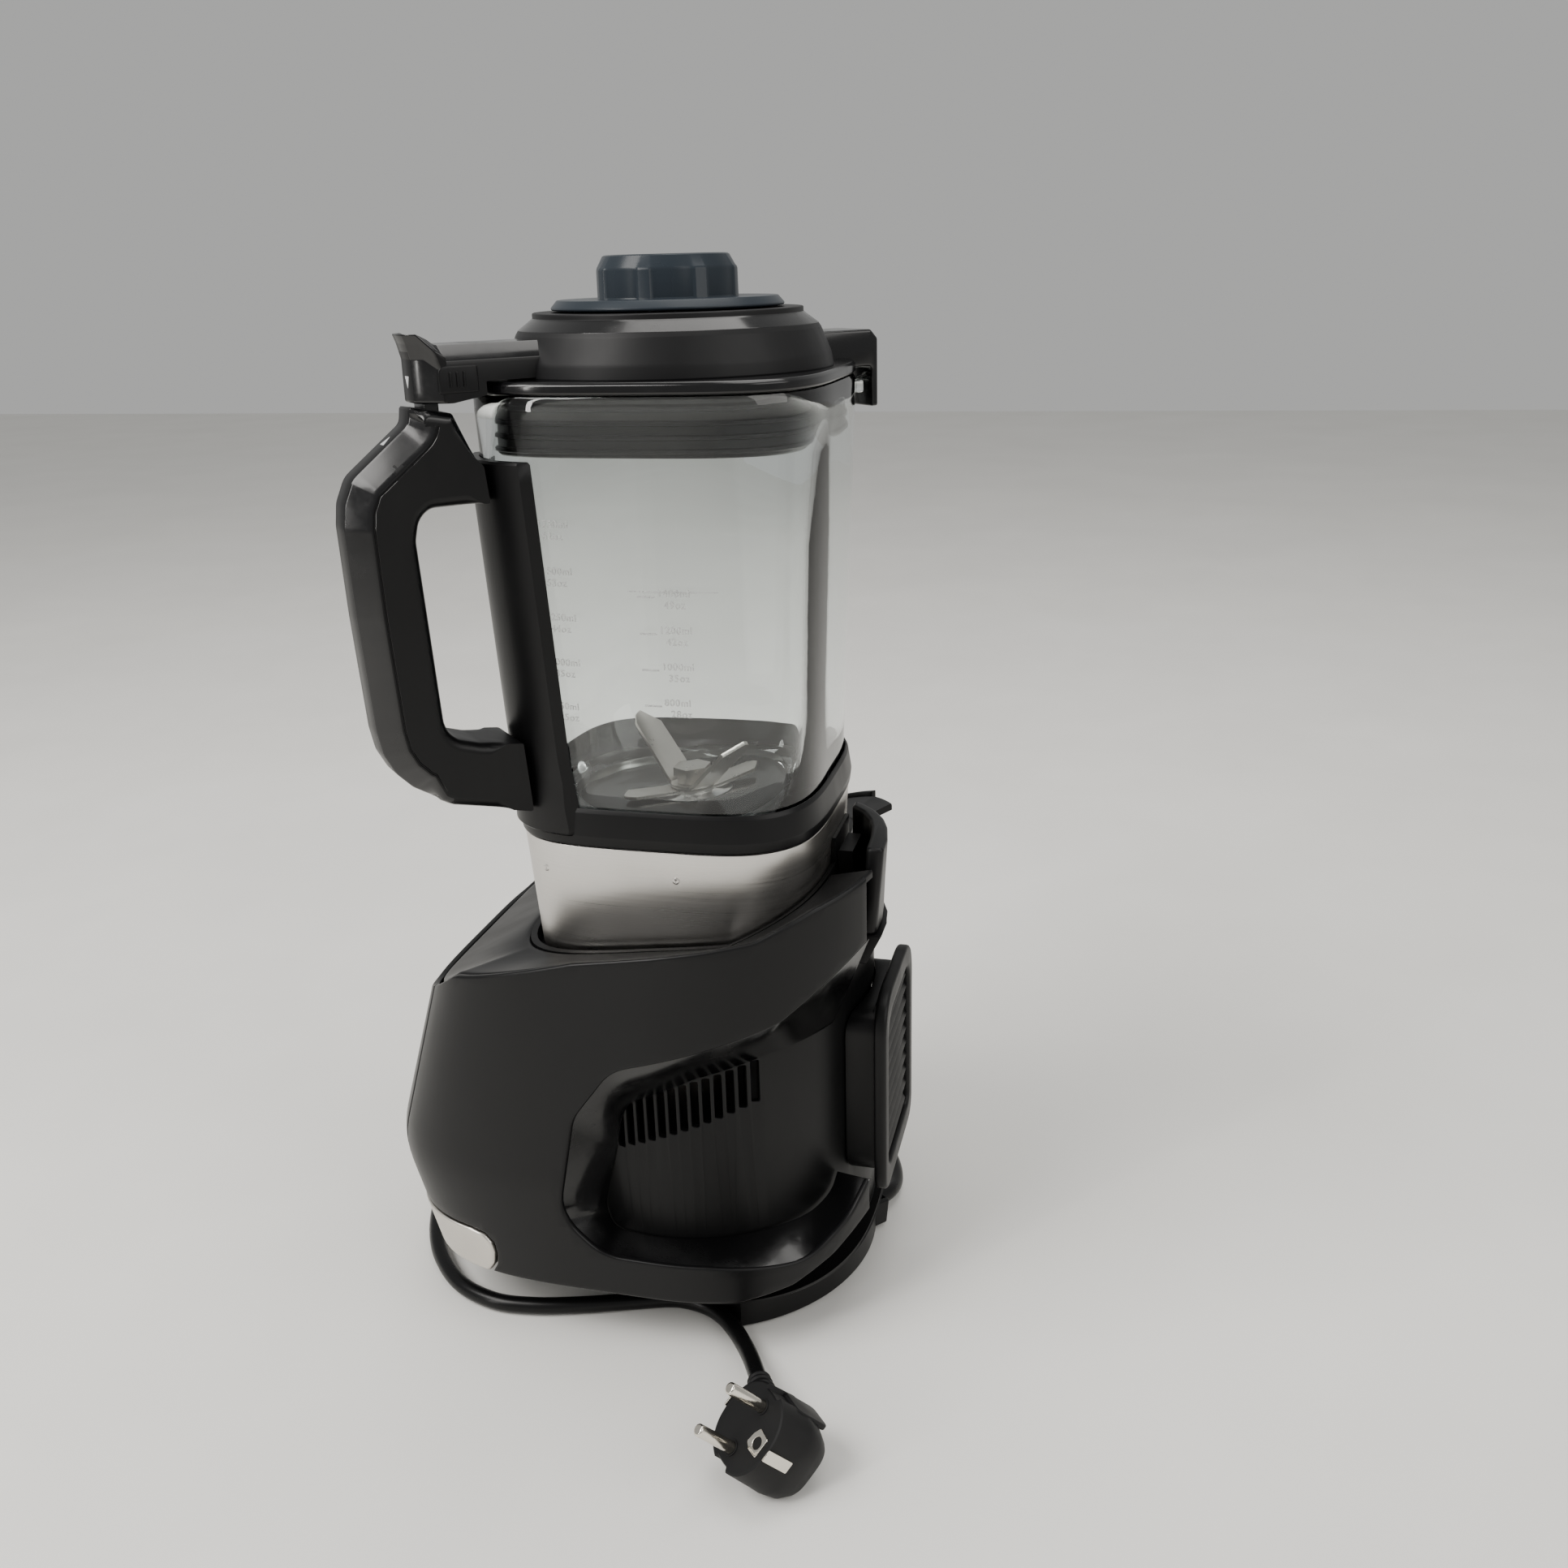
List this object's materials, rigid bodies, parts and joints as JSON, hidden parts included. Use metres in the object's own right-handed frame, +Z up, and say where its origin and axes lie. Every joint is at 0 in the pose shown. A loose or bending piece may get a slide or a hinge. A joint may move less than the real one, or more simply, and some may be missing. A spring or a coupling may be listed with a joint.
{
  "type": "countertop blender",
  "caption": "Countertop blender with a heated glass jar on a black motor base, a clip-on lid with a turning cap, push buttons, driven blades and a mains lead with an earthed plug.",
  "frame": {"origin": "on the worktop, under the jar's axis, at the face of the rubber foot ring", "axes": "+Z up along the jar's axis; the control panel faces -Y and the mains plug lies on the +X side"},
  "size_m": [0.2907, 0.2385, 0.452],
  "materials": {
    "casing": "satin moulded black",
    "fascia": "satin moulded black",
    "deck": "fine-grained black",
    "gloss_black": "high-gloss black",
    "housing": "matte black",
    "rubber_black": "matte rubber",
    "trim": "satin silver",
    "panel": "gloss black",
    "window": "smoked clear",
    "buttons": "satin grey",
    "board": "solder-mask green",
    "steel_core": "laminated",
    "bracket": "die cast",
    "steel": "ground",
    "copper": "enamelled windings and copper",
    "fan": "moulded",
    "cord": "smooth PVC",
    "plug": "moulded PVC",
    "nickel": "nickel plated",
    "glass": "clear polished",
    "band": "brushed stainless",
    "collar": "satin black",
    "hotplate": "dark non-stick",
    "handle": "satin black with a gloss edge",
    "blade": "satin stainless",
    "lid": "satin black",
    "seal": "silicone",
    "cap": "blue-grey satin"
  },
  "bodies": {
    "base": {"side_shroud_right": "casing", "side_shroud_left": "casing", "front_fascia": "fascia", "top_deck": "deck", "jar_well": "housing", "rear_housing": "housing", "recess_bezel_right": "gloss_black", "recess_bezel_left": "gloss_black", "vent_box": "housing", "vent_grille": "housing", "connector_hood": "casing", "heater_socket": "housing", "base_pan": "housing", "foot_ring": "rubber_black", "chin_trim": "trim", "control_panel": "panel", "display_window": "window", "control_board": "board", "power_board": "board", "motor_stator": "steel_core", "motor_mount": "bracket", "motor_bearings": "steel", "cord_gland": "rubber_black", "base_screws": "steel", "mains_lead": "cord", "plug_body": "plug", "plug_pins": "nickel", "plug_earth": "nickel"},
    "motor": {"motor_shaft": "steel", "motor_armature": "copper", "cooling_fan": "fan", "drive_socket": "fan"},
    "jar": {"glass_jar": "glass", "jar_collar": "collar", "steel_band": "band", "jar_base_cup": "collar", "heater_plate": "hotplate", "heater_element": "steel", "heater_plug": "collar", "handle_grip": "handle", "handle_spine": "handle", "blade_bearing": "steel"},
    "blades": {"upper_blade": "blade", "lower_blade": "blade", "blade_shaft": "steel", "blade_nut": "blade", "drive_dog": "fan"},
    "lid": {"lid_shell": "lid", "lid_gasket": "seal", "lid_arm": "lid"},
    "release_near": {"lid_release_near": "lid"},
    "release_far": {"lid_release_far": "lid"},
    "seal_ring": {"cap_seal": "seal"},
    "cap": {"cap_disc": "cap"},
    "power_key": {"power_button": "buttons"},
    "start_key": {"start_button": "buttons"},
    "blend_key": {"blend_button": "buttons"},
    "soup_key": {"soup_button": "buttons"},
    "crush_key": {"crush_button": "buttons"},
    "clean_key": {"clean_button": "buttons"}
  },
  "joints": [
    {"name": "jar_lift", "type": "slide", "parent": "base", "child": "jar", "axis": [0, 0, 1], "range_m": [0, 0.075]},
    {"name": "lid_lift", "type": "slide", "parent": "jar", "child": "lid", "axis": [0, 0, 1], "range_m": [0, 0.1]},
    {"name": "cap_lift", "type": "slide", "parent": "lid", "child": "seal_ring", "axis": [0, 0, 1], "range_m": [0, 0.05]},
    {"name": "cap_twist", "type": "hinge", "parent": "seal_ring", "child": "cap", "pos_m": [0, 0, 0.43], "axis": [0, 0, 1], "range_deg": [0, 45]},
    {"name": "motor_spin", "type": "hinge", "parent": "base", "child": "motor", "pos_m": [0, 0, 0.1], "axis": [0, 0, 1], "continuous": true},
    {"name": "blade_spin", "type": "hinge", "parent": "jar", "child": "blades", "pos_m": [0, 0, 0.24], "axis": [0, 0, 1], "continuous": true},
    {"name": "release_near_press", "type": "slide", "parent": "lid", "child": "release_near", "axis": [-0.7071, -0.7071, 0], "range_m": [0, 0.003], "stiffness_N_per_m": 600},
    {"name": "release_far_press", "type": "slide", "parent": "lid", "child": "release_far", "axis": [0.7071, 0.7071, 0], "range_m": [0, 0.003], "stiffness_N_per_m": 600},
    {"name": "power_press", "type": "slide", "parent": "base", "child": "power_key", "axis": [0, 0.9521, -0.3057], "range_m": [0, 0.0012], "stiffness_N_per_m": 600},
    {"name": "start_press", "type": "slide", "parent": "base", "child": "start_key", "axis": [0, 0.9521, -0.3057], "range_m": [0, 0.0012], "stiffness_N_per_m": 600},
    {"name": "blend_press", "type": "slide", "parent": "base", "child": "blend_key", "axis": [0, 0.9521, -0.3057], "range_m": [0, 0.0012], "stiffness_N_per_m": 600},
    {"name": "soup_press", "type": "slide", "parent": "base", "child": "soup_key", "axis": [0, 0.9521, -0.3057], "range_m": [0, 0.0012], "stiffness_N_per_m": 600},
    {"name": "crush_press", "type": "slide", "parent": "base", "child": "crush_key", "axis": [0, 0.9521, -0.3057], "range_m": [0, 0.0012], "stiffness_N_per_m": 600},
    {"name": "clean_press", "type": "slide", "parent": "base", "child": "clean_key", "axis": [0, 0.9521, -0.3057], "range_m": [0, 0.0012], "stiffness_N_per_m": 600}
  ],
  "couplings": [
    {"joint": "blade_spin", "follows": "motor_spin", "ratio": 1}
  ]
}
